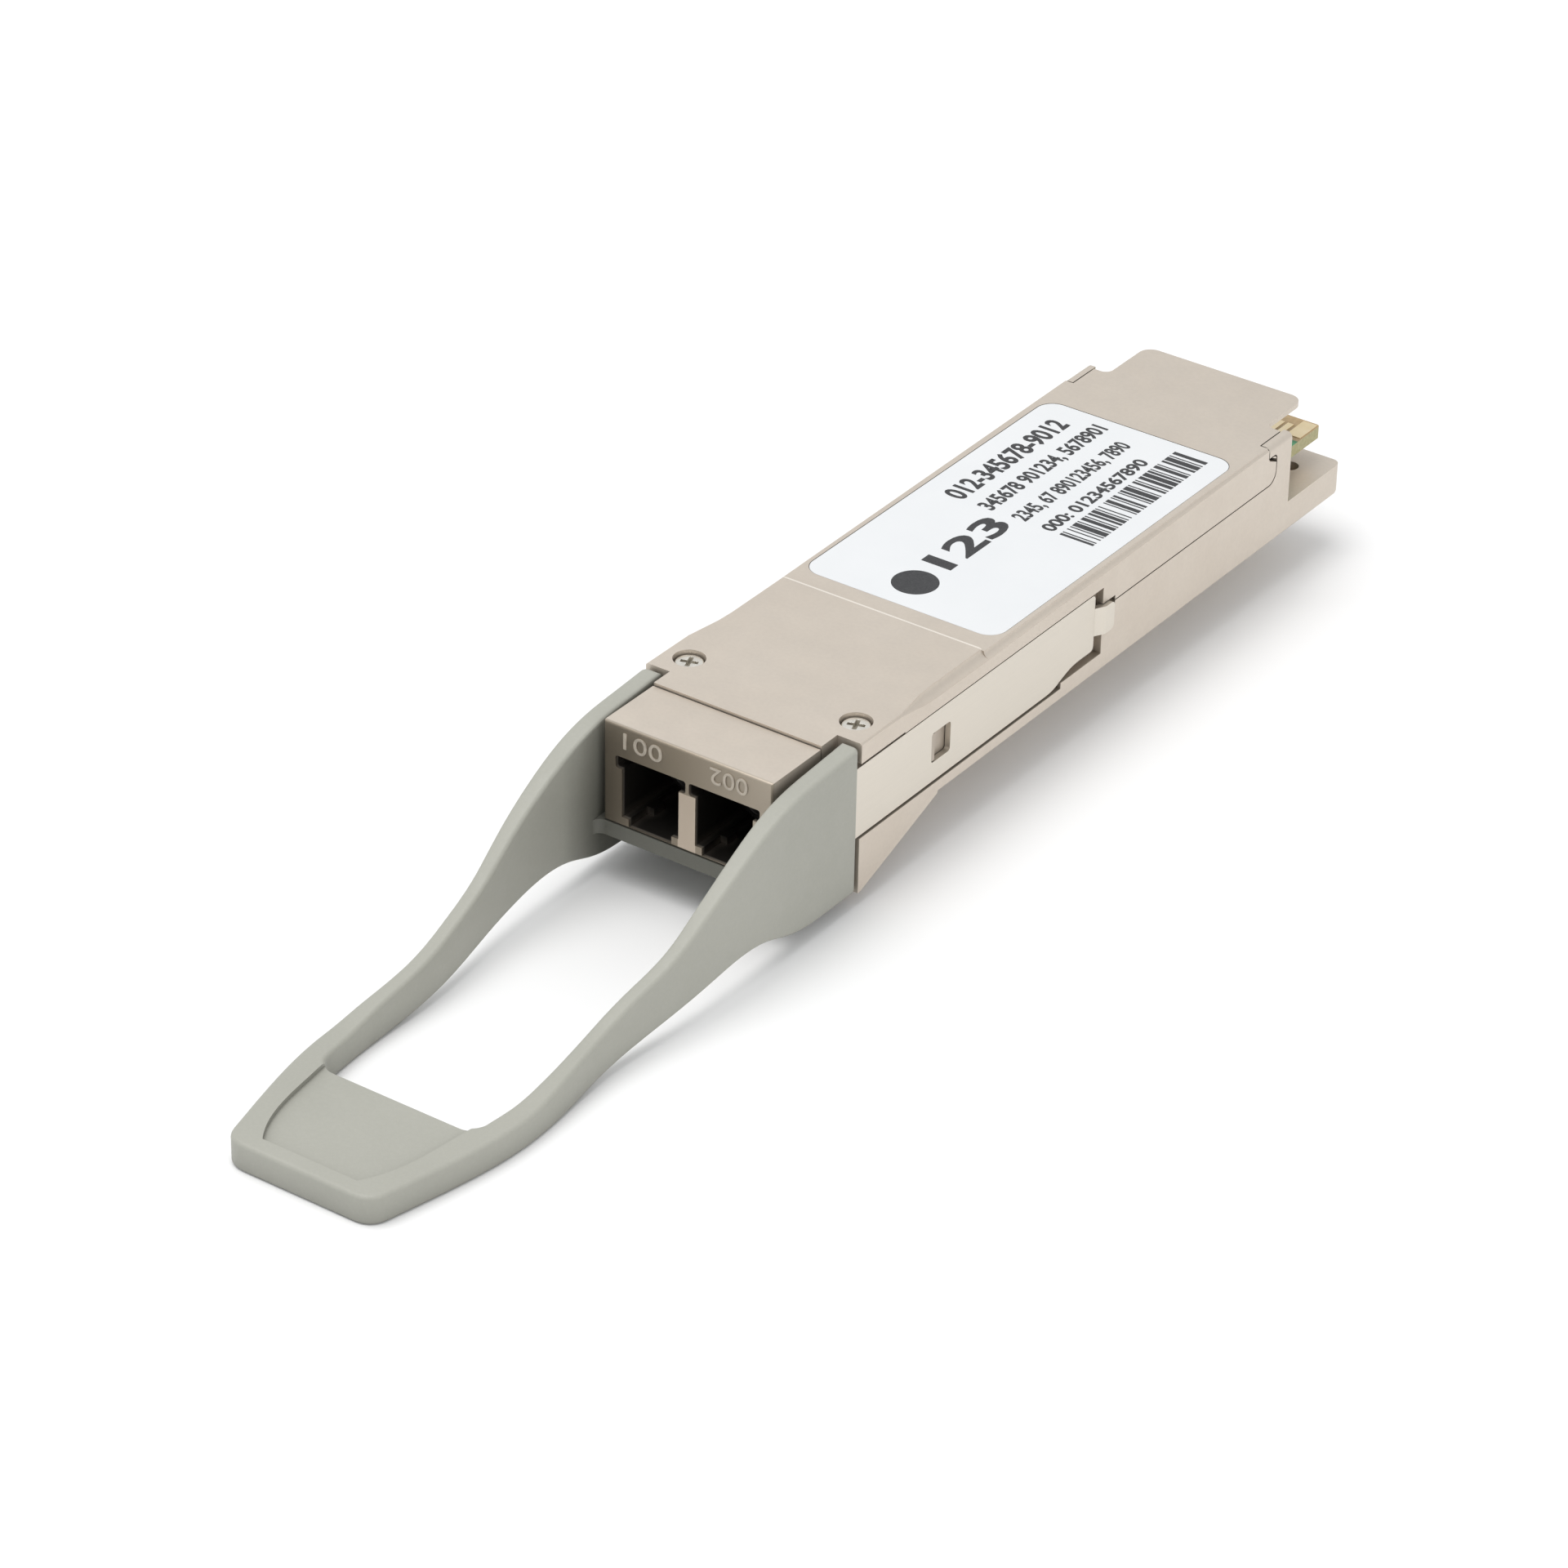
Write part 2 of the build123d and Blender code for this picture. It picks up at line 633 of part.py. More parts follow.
# ----------------------------------------------------------- latch slider, springs
with BuildPart() as latch_slider:
    with BuildSketch(Plane.YZ) as strip:
        with BuildLine():
            Line((strip_front, slider_top), (slider_end - 0.4, slider_top))
            RadiusArc((slider_end - 0.4, slider_top), (slider_end, slider_top - 0.4), 0.4)
            Line((slider_end, slider_top - 0.4), (slider_end, 2.5))
            relief = ((slider_end - 0.4, 2.16), (34.4, 2.02), (33.2, 1.62), (31.1, slider_bottom))
            RadiusArc((slider_end, 2.5), relief[0], 0.4)
            Spline(*relief, tangents=((-1, 0), (-1, 0)))
            Line(relief[-1], (strap_end, slider_bottom))
            Line((strap_end, slider_bottom), (strap_end, strap_bottom))
            Line((strap_end, strap_bottom), (strip_front, strap_bottom))
            Line((strip_front, strap_bottom), (strip_front, slider_top))
        make_face()
        for z in (1.9, 5.6):
            with Locations((4.4, z)):
                Circle(0.8, mode=Mode.SUBTRACT)
        window_centre = (sum(window[0]) / 2, sum(window[1]) / 2)
        with Locations(window_centre):
            window_length = window[0][1] - window[0][0]
            RectangleRounded(window_length, window[1][1] - window[1][0], 0.25, mode=Mode.SUBTRACT)
    extrude(amount=slider_face, both=True)
    inside = (strip_front - 1, slider_end + 1)
    block(across(slider_inside), inside, (strap_bottom + sheet, 8), Mode.SUBTRACT)
    for start, end in ((4.0, 7.5), (-7.5, -4.0), (-2.5, 2.5)):
        block((start, end), (4.0, 5.4), (strap_bottom - 1, 0), Mode.SUBTRACT)
    # Spring seats folded in from the lower edge
    both_sides((7.4, slider_inside + 0.1), spring_seat, (slider_bottom, slider_bottom + sheet))
    # Lugs at the end, bent outward
    with BuildSketch(Plane.XY.offset(lug[0])):
        with BuildLine():
            Polyline(
                (slider_inside + sheet / 2, slider_end - 0.5),
                (slider_inside + sheet / 2, slider_end + 0.1),
                (slider_face + sheet / 2, slider_end + 0.9),
                (slider_face + sheet / 2, slider_end + 2),
            )
        trace(line_width=sheet)
    extrude(amount=lug[1] - lug[0])
    mirror(about=Plane.YZ)
    fillet(latch_slider.edges().filter_by(Axis.X).group_by(Axis.Y)[-1], radius=lug_corner)
finish(latch_slider, "latch_slider")

for name, side in SIDES.items():
    with BuildPart() as spring:
        start = (side * spring_x, spring_start + wire_radius, spring_z)
        length = spring_end - spring_start - 2 * wire_radius
        with BuildLine() as coil:
            Helix(length / coils, length, coil_radius, start, (0, 1, 0))
        with BuildSketch(Plane(origin=coil.line @ 0, z_dir=coil.line % 0)):
            Circle(wire_radius)
        sweep()
    finish(spring, f"{name}_return_spring")

# ---------------------------------------------------------------------- pull tab
with BuildPart() as pull_tab:
    # Side view
    with BuildSketch(Plane.YZ.offset(-half_width)):
        with BuildLine():
            Line((tab_rear, -3.2), tab_top_front[0])
            Spline(*tab_top_front, *tab_top_grip, tangents=((-1, -0.07), (-1, 0)))
            Line(tab_top_grip[-1], (tab_tip, grip_top))
            Line((tab_tip, grip_top), (tab_tip, grip_bottom))
            Line((tab_tip, grip_bottom), tab_bottom_grip[0])
            Spline(*tab_bottom_grip, *tab_bottom_front, tangents=((1, 0), (1, 0)))
            Line(tab_bottom_front[-1], (tab_rear, -3.2))
        make_face()
    extrude(amount=case_width)

    # Outline seen from above
    with BuildSketch(Plane.XY.offset(-10)):
        with BuildLine():
            for side in SIDES.values():
                outer = [(side * x, y) for x, y in tab_outer]
                corner = [(side * x, y) for x, y in tab_corner]
                rear_corner = (side * (half_width - tab_rear_corner), tab_rear)
                rear_side = (side * half_width, tab_rear - tab_rear_corner)
                Line((0, tab_rear), rear_corner)
                RadiusArc(rear_corner, rear_side, side * tab_rear_corner)
                Line(rear_side, outer[0])
                Spline(*outer, tangents=((0, -1), (side * -0.24, -1)))
                Spline(*corner, tangents=((side * -0.24, -1), (-side, 0)))
                Line(corner[-1], (0, tab_tip))
        make_face()
    extrude(amount=20, mode=Mode.INTERSECT)

    # Room for the fingers between the arms, and for the nose above the cross bar
    with BuildSketch(Plane.XY.offset(-10)):
        with BuildLine():
            for side in SIDES.values():
                inner = [(side * x, y) for x, y in tab_inner]
                bar_corner = (side * (tab_inside - bar_blend), 0)
                plate_corner = (side * (tab_inner[-1][0] - grip_blend), grip_rear)
                Line((0, 0), bar_corner)
                RadiusArc(bar_corner, inner[0], side * bar_blend)
                Spline(*inner, tangents=((0, -1), (side * -0.1, -1)))
                RadiusArc(inner[-1], plate_corner, side * grip_blend)
                Line(plate_corner, (0, grip_rear))
        make_face()
    extrude(amount=20, mode=Mode.SUBTRACT)
    block(across(tab_inside), (-bar_blend, tab_rear + 1), (bar_top, 10), Mode.SUBTRACT)
    # The underside of the cross bar rises toward the fingers
    with BuildSketch(Plane.YZ.offset(-tab_inside)):
        with BuildLine():
            Polyline(
                (-bar_blend - 1, bar_front_bottom),
                (0, bar_front_bottom),
                (tab_rear, -3.2),
                (tab_rear, -6),
                (-bar_blend - 1, -6),
                close=True,
            )
        make_face()
    extrude(amount=2 * tab_inside, mode=Mode.SUBTRACT)
    long_edges = pull_tab.edges().filter_by(lambda edge: edge.length > 7)
    soft_edges = long_edges.filter_by(lambda edge: edge.center().Y < -2)
    fillet(soft_edges, radius=tab_edge_radius)

    # Sunk face of the grip, open toward the module
    with BuildSketch(Plane.XY.offset(grip_top)):
        with BuildLine():
            for side in SIDES.values():
                sunk = [(side * x, y) for x, y in grip_outline]
                Line((0, sunk[0][1]), sunk[0])
                Spline(*sunk)
                Line(sunk[-1], (0, sunk[-1][1]))
        make_face()
    extrude(amount=-grip_recess, mode=Mode.SUBTRACT)

    # Core-outs under the cross bar, and the cavity that the slider is moulded into
    both_sides((0.6, 6.4), (4.2, 6.3), (-5, -1.3), Mode.SUBTRACT)
    add(latch_slider.part, mode=Mode.SUBTRACT)
finish(pull_tab, "pull_tab")
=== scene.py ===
import bpy
import json
import math
from mathutils import Matrix, Vector


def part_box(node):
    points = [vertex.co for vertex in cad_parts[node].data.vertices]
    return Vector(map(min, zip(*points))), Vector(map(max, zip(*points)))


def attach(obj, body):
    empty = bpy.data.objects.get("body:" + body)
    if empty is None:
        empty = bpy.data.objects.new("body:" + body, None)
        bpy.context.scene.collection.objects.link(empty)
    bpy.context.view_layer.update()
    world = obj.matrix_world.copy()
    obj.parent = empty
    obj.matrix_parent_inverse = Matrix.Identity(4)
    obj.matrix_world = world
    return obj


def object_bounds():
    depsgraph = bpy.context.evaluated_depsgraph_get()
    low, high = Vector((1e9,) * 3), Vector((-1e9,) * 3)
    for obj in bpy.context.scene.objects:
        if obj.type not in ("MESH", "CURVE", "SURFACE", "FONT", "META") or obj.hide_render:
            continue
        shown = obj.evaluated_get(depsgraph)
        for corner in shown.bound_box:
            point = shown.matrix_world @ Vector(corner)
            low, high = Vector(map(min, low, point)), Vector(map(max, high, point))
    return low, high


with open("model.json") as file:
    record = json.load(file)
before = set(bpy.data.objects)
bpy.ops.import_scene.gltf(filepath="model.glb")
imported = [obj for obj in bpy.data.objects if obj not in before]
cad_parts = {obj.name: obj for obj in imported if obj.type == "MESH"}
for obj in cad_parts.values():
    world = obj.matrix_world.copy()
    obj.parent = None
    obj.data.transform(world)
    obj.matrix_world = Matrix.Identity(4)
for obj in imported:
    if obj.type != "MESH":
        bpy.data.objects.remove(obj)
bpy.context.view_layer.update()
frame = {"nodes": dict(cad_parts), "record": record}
MM = 0.001
RIGHT = Vector((1, 0, 0))
BACK = Vector((0, 1, 0))
UP = Vector((0, 0, 1))

# Zones that the materials tell apart, in millimetres: |X| is the distance from the middle, Y runs
# back from the nose's front face and Z up from the flat underside. A limit of -1 leaves that side open.
DIVIDER = {"|X|": (-1, 0.75), "Z": (0, 4.95)}
PORTS = {"|X|": (-1, 6.3), "Y": (-1, 9.6), "Z": (0.5, 6.1)}
POCKETS = {"|X|": (8.45, 9.1), "Y": (7.7, 40.1), "Z": (1.0, 7.1)}
RAISED_EDGE = {"Y": (23.28, 23.47), "Z": (8.6, 9.0)}
BETWEEN_ARMS = {"|X|": (-1, 7.72)}
BOARD_CORE = {"Z": (4.52, 5.48)}

# Where one look turns into another, in millimetres
NOSE_WIDTH = (-7, 7)
FRONT_EDGE = (0.08, 0.3)
PORT_MOUTH = (0.06, 0.35)
PORT_END = (9.0, 9.6)
SCREW_CROSS = (8.02, 8.30)
NOSE_SHADE = (-4.0, 0.3)
ARM_HEIGHT = (0.5, 7.5)
MASK_END = (68.35, 68.45)

# Pattern repeats in a metre along X, Y and Z
ROLLING_LINES = (9000, 260, 9000)
BOARD_TRACKS = (420, 150, 420)

# Most of a noise texture's values lie between these two
NOISE_LOW = 0.3
NOISE_HIGH = 0.7
# Painted shade inside the ports
PORT_SHADE = (0.010, 0.009, 0.008)


# --------------------------------------------------------------- material helper
class Shader:
    """A material being built from nodes."""

    def __init__(self, name):
        self.material = bpy.data.materials.new(name)
        self.material.use_nodes = True
        self.tree = self.material.node_tree
        self.tree.nodes.clear()
        self.bsdf = self.node("ShaderNodeBsdfPrincipled")
        output = self.node("ShaderNodeOutputMaterial")
        self.link(self.bsdf.outputs["BSDF"], output.inputs["Surface"])
        self.place = self.node("ShaderNodeTexCoord").outputs["Object"]

    def node(self, kind, **settings):
        node = self.tree.nodes.new(kind)
        for key, value in settings.items():
            setattr(node, key, value)
        return node

    def link(self, source, target):
        self.tree.links.new(source, target)

    def feed(self, target, value):
        """Puts a number, a colour or another node's output into a socket."""
        if isinstance(value, bpy.types.NodeSocket):
            self.link(value, target)
        elif isinstance(value, tuple):
            target.default_value = (*value, 1.0)
        else:
            target.default_value = value

    def set(self, **values):
        """Sets the surface's own sockets, by name with _ for spaces."""
        for key, value in values.items():
            self.feed(self.bsdf.inputs[key.replace("_", " ")], value)

    def axis(self, name):
        """One coordinate in metres, where |X| is the distance from the middle."""
        node = self.node("ShaderNodeSeparateXYZ")
        self.link(self.place, node.inputs["Vector"])
        if name == "|X|":
            return self.math("ABSOLUTE", node.outputs["X"])
        return node.outputs[name]

    def stretch(self, scale):
        """Coordinates scaled differently along X, Y and Z."""
        mapping = self.node("ShaderNodeMapping")
        self.link(self.place, mapping.inputs["Vector"])
        mapping.inputs["Scale"].default_value = scale
        return mapping.outputs["Vector"]

    def noise(self, size, detail=3.0, roughness=0.5):
        """Noise whose features are about this many millimetres across."""
        return self.noise_over(self.place, 1.0 / (size * MM), detail, roughness)

    def noise_over(self, vector, scale, detail, roughness):
        """Noise over the given coordinates."""
        node = self.node("ShaderNodeTexNoise")
        self.link(vector, node.inputs["Vector"])
        node.inputs["Scale"].default_value = scale
        node.inputs["Detail"].default_value = detail
        node.inputs["Roughness"].default_value = roughness
        return node.outputs["Fac"]

    def ramp(self, fac, *stops):
        """A colour ramp: (position, colour) stops."""
        node = self.node("ShaderNodeValToRGB")
        self.link(fac, node.inputs["Fac"])
        elements = node.color_ramp.elements
        while len(elements) < len(stops):
            elements.new(0.5)
        for element, (position, colour) in zip(elements, stops):
            element.position = position
            element.color = (*colour, 1.0)
        return node.outputs["Color"]

    def span(self, value, low, high, to_low, to_high):
        """Maps one range of numbers on another."""
        node = self.node("ShaderNodeMapRange")
        self.link(value, node.inputs["Value"])
        node.inputs["From Min"].default_value = low
        node.inputs["From Max"].default_value = high
        node.inputs["To Min"].default_value = to_low
        node.inputs["To Max"].default_value = to_high
        return node.outputs["Result"]

    def fade(self, axis, limits, start, end):
        """Goes from one number to another between two places on an axis."""
        low, high = limits
        return self.span(self.axis(axis), low * MM, high * MM, start, end)

    def vary(self, noise, low, high):
        """Spreads a noise over two colours, or over two numbers."""
        if isinstance(low, tuple):
            return self.ramp(noise, (NOISE_LOW, low), (NOISE_HIGH, high))
        return self.span(noise, NOISE_LOW, NOISE_HIGH, low, high)

    def math(self, operation, first, second=0.0):
        node = self.node("ShaderNodeMath", operation=operation)
        self.feed(node.inputs[0], first)
        self.feed(node.inputs[1], second)
        return node.outputs["Value"]

    def product(self, first, *others):
        for other in others:
            first = self.math("MULTIPLY", first, other)
        return first

    def inside(self, zone):
        """1 inside a zone, 0 outside."""
        masks = []
        for name, (low, high) in zone.items():
            value = self.axis(name)
            masks.append(self.math("GREATER_THAN", value, low * MM))
            masks.append(self.math("LESS_THAN", value, high * MM))
        return self.product(*masks)

    def mix(self, fac, first, second):
        """Mixes two colours."""
        node = self.node("ShaderNodeMix", data_type="RGBA")
        self.feed(node.inputs["Factor"], fac)
        self.feed(node.inputs["A"], first)
        self.feed(node.inputs["B"], second)
        return node.outputs["Result"]

    def recess_shade(self, base, colour, amount, reach, deep=0.35, open_face=0.95):
        """Paints shade in corners, within this many millimetres of the next face."""
        node = self.node("ShaderNodeAmbientOcclusion", samples=6)
        node.inputs["Distance"].default_value = reach * MM
        recess = self.span(node.outputs["AO"], deep, open_face, 1.0, 0.0)
        return self.mix(self.product(recess, amount), base, colour)

    def seam(self, base, colour, amount):
        """Lays a colour in narrow gaps only."""
        return self.recess_shade(base, colour, amount, reach=0.22, deep=0.12, open_face=0.55)

    def shade_in_port(self, base):
        """Paints shade on what stands inside the ports."""
        return self.mix(self.fade("Y", PORT_END, 0.94, 0.0), base, PORT_SHADE)

    def relief(self, height, depth, strength):
        """Fine surface relief, its depth in millimetres."""
        node = self.node("ShaderNodeBump")
        self.link(height, node.inputs["Height"])
        node.inputs["Distance"].default_value = depth * MM
        node.inputs["Strength"].default_value = strength
        self.link(node.outputs["Normal"], self.bsdf.inputs["Normal"])


# --------------------------------------------------------------------- materials
def plated_casting():
    """Satin nickel on a die casting: a faint mottle, fine grain, and painted shade in its corners,
    ports and pockets and on its nose face.
    """
    s = Shader("satin_nickel_casting")
    base = s.vary(s.noise(7.0), (0.645, 0.575, 0.495), (0.665, 0.597, 0.517))
    base = s.mix(s.span(s.noise(0.3, 2.0), 0.35, 0.7, 0.0, 0.13), base, (0.50, 0.44, 0.38))
    # Painted shade on the face round the ports, darker toward the left and lighter on the divider
    left = (0.185, 0.157, 0.12)
    middle = (0.28, 0.236, 0.18)
    right = (0.42, 0.365, 0.295)
    face = s.ramp(s.fade("X", NOSE_WIDTH, 0.0, 1.0), (0.03, left), (0.46, middle), (0.96, right))
    face = s.mix(s.inside(DIVIDER), face, (0.56, 0.475, 0.385))
    base = s.mix(s.fade("Y", FRONT_EDGE, 1.0, 0.0), base, face)
    # Painted shade makes the ports black inside and dulls the side pockets behind the slider
    base = s.mix(s.product(s.fade("Y", PORT_MOUTH, 0.0, 0.97), s.inside(PORTS)), base, PORT_SHADE)
    base = s.mix(s.product(s.inside(POCKETS), 0.5), base, (0.30, 0.25, 0.20))
    # A painted highlight marks the burr along the rear edge of the raised zone
    base = s.mix(s.inside(RAISED_EDGE), base, (0.86, 0.80, 0.72))
    # Painted shade in the corners, then dark narrow seams
    base = s.recess_shade(base, (0.29, 0.25, 0.205), 0.4, reach=0.7)
    base = s.seam(base, (0.035, 0.028, 0.020), 0.9)
    s.set(Base_Color=base, Metallic=0.7, Roughness=s.vary(s.noise(2.2, 5.0), 0.42, 0.50))
    s.relief(s.noise(0.16, 3.0, 0.6), 0.008, 0.6)
    return s.material


def stamped_sheet():
    """Satin stainless sheet with rolling lines along Y."""
    s = Shader("stamped_stainless")
    lines = s.noise_over(s.stretch(ROLLING_LINES), 1.0, 4.0, 0.6)
    base = s.vary(lines, (0.685, 0.635, 0.557), (0.71, 0.66, 0.58))
    # Painted shade in the corners, then dark narrow seams
    base = s.recess_shade(base, (0.3, 0.28, 0.25), 0.4, reach=0.6)
    base = s.seam(base, (0.05, 0.042, 0.032), 0.85)
    s.set(Base_Color=base, Metallic=0.8, Roughness=s.vary(lines, 0.34, 0.40))
    s.relief(lines, 0.0015, 0.3)
    return s.material


def bright_screw():
    """Bright nickel, darker toward the bottom of the cross."""
    s = Shader("bright_nickel_screw")
    wear = s.noise(0.6)
    base = s.vary(wear, (0.78, 0.74, 0.67), (0.88, 0.85, 0.78))
    base = s.mix(s.fade("Z", SCREW_CROSS, 0.5, 0.0), base, (0.16, 0.14, 0.10))
    s.set(Base_Color=base, Metallic=0.9, Roughness=s.vary(wear, 0.22, 0.34))
    s.relief(s.noise(0.12, 2.0), 0.006, 0.4)
    return s.material


def cast_numerals():
    """The housing's metal where it stands proud, in painted shade a little lighter than the face round
    it.
    """
    s = Shader("cast_numerals")
    rub = s.noise(0.4)
    s.set(Base_Color=s.vary(rub, (0.44, 0.39, 0.325), (0.56, 0.50, 0.42)))
    s.set(Metallic=0.4, Roughness=s.vary(rub, 0.42, 0.55))
    s.relief(s.noise(0.15, 2.0), 0.008, 0.5)
    return s.material


def moulded_plastic():
    """Grey-green moulding with a fine spark-eroded texture, in shade by the nose."""
    s = Shader("moulded_tab_plastic")
    base = s.vary(s.noise(14.0), (0.345, 0.344, 0.301), (0.374, 0.371, 0.326))
    base = s.mix(s.span(s.noise(0.25, 2.0), 0.4, 0.75, 0.0, 0.14), base, (0.45, 0.445, 0.40))
    shade = s.product(s.fade("Y", NOSE_SHADE, 0.0, 0.85), s.inside(BETWEEN_ARMS))
    low = s.fade("Z", ARM_HEIGHT, 1.0, 0.45)
    base = s.mix(s.product(shade, low), base, (0.065, 0.065, 0.052))
    # Painted shade in the corners and between the arms
    base = s.recess_shade(base, (0.13, 0.13, 0.11), 0.45, reach=2.5)
    s.set(Base_Color=base, Roughness=s.vary(s.noise(1.5, 4.0), 0.46, 0.58), Specular_IOR_Level=0.42)
    s.relief(s.noise(0.13, 3.0, 0.6), 0.014, 0.55)
    return s.material


def label_film():
    """Matte white film with a very light tooth."""
    s = Shader("white_label_film")
    s.set(Base_Color=s.vary(s.noise(6.0), (0.675, 0.688, 0.698), (0.695, 0.706, 0.714)))
    s.set(Roughness=s.vary(s.noise(0.8), 0.5, 0.6))
    s.relief(s.noise(0.1, 2.0), 0.003, 0.4)
    return s.material


def print_ink():
    """Thermal-transfer ink, slightly broken up."""
    s = Shader("black_print_ink")
    grain = s.noise(0.12, 2.0)
    s.set(Base_Color=s.ramp(grain, (0.35, (0.016, 0.016, 0.018)), (0.75, (0.05, 0.05, 0.052))))
    s.set(Roughness=s.vary(grain, 0.42, 0.58))
    return s.material


def solder_mask():
    """Green solder mask with faint tracks under it, and bare laminate at the edges and the contacts."""
    s = Shader("green_solder_mask")
    tracks = s.node("ShaderNodeTexBrick", offset=0.37, squash=1.6)
    s.link(s.stretch(BOARD_TRACKS), tracks.inputs["Vector"])
    s.feed(tracks.inputs["Color1"], (0.075, 0.30, 0.13))
    s.feed(tracks.inputs["Color2"], (0.10, 0.36, 0.16))
    s.feed(tracks.inputs["Mortar"], (0.05, 0.22, 0.10))
    s.feed(tracks.inputs["Mortar Size"], 0.035)
    s.feed(tracks.inputs["Scale"], 1.0)
    core = s.vary(s.noise(0.3), (0.30, 0.27, 0.11), (0.42, 0.38, 0.18))
    surface = s.vary(s.noise(0.5), (0.36, 0.25, 0.12), (0.45, 0.32, 0.17))
    face = s.mix(s.fade("Y", MASK_END, 0.0, 1.0), tracks.outputs["Color"], surface)
    s.set(Base_Color=s.mix(s.inside(BOARD_CORE), face, core))
    s.set(Roughness=s.vary(s.noise(1.2), 0.26, 0.40))
    s.relief(tracks.outputs["Fac"], 0.012, 0.5)
    return s.material


def coated_glass():
    """A thin coated glass plate."""
    s = Shader("coated_glass")
    tint = s.noise(1.0, 2.0)
    s.set(Base_Color=s.vary(tint, (0.62, 0.80, 0.78), (0.80, 0.78, 0.88)))
    s.set(Roughness=s.vary(tint, 0.02, 0.06), Transmission_Weight=0.85)
    return s.material


def varied(name, dark, light, roughness, grain, depth, strength):
    """A surface with a little variation in its colour, gloss and relief."""
    s = Shader(name)
    # Painted shade on whatever stands inside the ports
    s.set(Base_Color=s.shade_in_port(s.vary(s.noise(grain * 4, 4.0), dark, light)))
    s.set(Roughness=s.vary(s.noise(grain), *roughness))
    s.relief(s.noise(grain * 0.3, 2.0), depth, strength)
    return s


def metal(name, dark, light, roughness, grain=0.5):
    """A plated or ground metal."""
    s = varied(name, dark, light, (roughness - 0.05, roughness + 0.07), grain, 0.004, 0.4)
    s.set(Metallic=1.0)
    return s.material


def solid(name, dark, light, roughness, grain=0.5, depth=0.006):
    """A moulded, fired or filled material."""
    return varied(name, dark, light, (roughness - 0.06, roughness + 0.06), grain, depth, 0.5).material


# One material for each of the record's slots
MATERIALS = {
    "housing_nickel": plated_casting(),
    "slider_steel": stamped_sheet(),
    "screw_nickel": bright_screw(),
    "tab_plastic": moulded_plastic(),
    "label_film": label_film(),
    "board_green": solder_mask(),
    "contact_gold": metal("gold_contact", (0.90, 0.74, 0.46), (0.97, 0.83, 0.58), 0.34, 0.4),
    "chip_black": solid("chip_moulding", (0.012, 0.012, 0.013), (0.03, 0.03, 0.032), 0.5),
    "inductor_grey": solid("pressed_powder", (0.05, 0.05, 0.052), (0.09, 0.09, 0.092), 0.6),
    "capacitor_tan": solid("capacitor_body", (0.26, 0.16, 0.08), (0.36, 0.24, 0.13), 0.45),
    "crystal_metal": metal("crystal_lid", (0.60, 0.58, 0.54), (0.72, 0.70, 0.66), 0.32),
    "thermal_pad": solid("thermal_pad", (0.20, 0.28, 0.34), (0.26, 0.34, 0.40), 0.7),
    "gasket_rubber": solid("gasket", (0.035, 0.035, 0.036), (0.06, 0.06, 0.062), 0.65),
    "optics_steel": metal("ground_stainless", (0.55, 0.54, 0.51), (0.68, 0.67, 0.64), 0.28),
    "zirconia": solid("zirconia", (0.74, 0.74, 0.70), (0.82, 0.82, 0.79), 0.2, 0.8, 0.002),
    "filter_glass": coated_glass(),
    "can_gold": metal("gold_can", (0.66, 0.47, 0.20), (0.78, 0.58, 0.28), 0.3),
    "flex_amber": solid("polyimide", (0.30, 0.13, 0.02), (0.40, 0.19, 0.04), 0.35),
    "spring_steel": metal("spring_wire", (0.50, 0.49, 0.47), (0.62, 0.61, 0.59), 0.3, 0.2),
}
INK = print_ink()
NUMERALS = cast_numerals()


# ------------------------------------------------------- edges of the CAD pieces
WELD_DISTANCE = 1e-6
CREASE_ANGLE = math.radians(28)
BEVEL_ANGLE = math.radians(35)

# Width of the small bevel on each node's edges, in millimetres
USUAL_EDGE = 0.02
EDGE_WIDTH = {
    "base_housing": 0.03,
    "top_cover": 0.03,
    "pull_tab": 0.12,
    "latch_slider": 0.05,
    "cover_screws": 0.05,
    "product_label": 0.0,
}


def crisp_edges():
    """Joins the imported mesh's split corners and shades it smooth except at real edges."""
    tree = bpy.data.node_groups.new("crisp_edges", "GeometryNodeTree")
    tree.interface.new_socket("Geometry", in_out="INPUT", socket_type="NodeSocketGeometry")
    tree.interface.new_socket("Geometry", in_out="OUTPUT", socket_type="NodeSocketGeometry")
    start = tree.nodes.new("NodeGroupInput")
    end = tree.nodes.new("NodeGroupOutput")
    strip = tree.nodes.new("GeometryNodeRemoveAttribute")
    strip.inputs["Name"].default_value = "custom_normal"
    weld = tree.nodes.new("GeometryNodeMergeByDistance")
    weld.inputs["Distance"].default_value = WELD_DISTANCE
    smooth = tree.nodes.new("GeometryNodeSetShadeSmooth")
    smooth.domain = "FACE"
    smooth.inputs["Shade Smooth"].default_value = True
    angle = tree.nodes.new("GeometryNodeInputMeshEdgeAngle")
    shallow = tree.nodes.new("FunctionNodeCompare")
    shallow.operation = "LESS_THAN"
    shallow.inputs[1].default_value = CREASE_ANGLE
    creases = tree.nodes.new("GeometryNodeSetShadeSmooth")
    creases.domain = "EDGE"
    steps = (start, strip, weld, smooth, creases, end)
    for step, following in zip(steps, steps[1:]):
        tree.links.new(step.outputs["Geometry"], following.inputs["Geometry"])
    tree.links.new(angle.outputs["Unsigned Angle"], shallow.inputs[0])
    tree.links.new(shallow.outputs["Result"], creases.inputs["Shade Smooth"])
    return tree


def finish_node(node, material, crisp, width):
    """Gives a CAD node its material and its edges."""
    node.data.materials.clear()
    node.data.materials.append(material)
    node.modifiers.new("crisp", "NODES").node_group = crisp
    if width:
        bevel = node.modifiers.new("edges", "BEVEL")
        bevel.width = width * MM
        bevel.segments = 2
        bevel.limit_method = "ANGLE"
        bevel.angle_limit = BEVEL_ANGLE
        bevel.harden_normals = True
        bevel.use_clamp_overlap = True


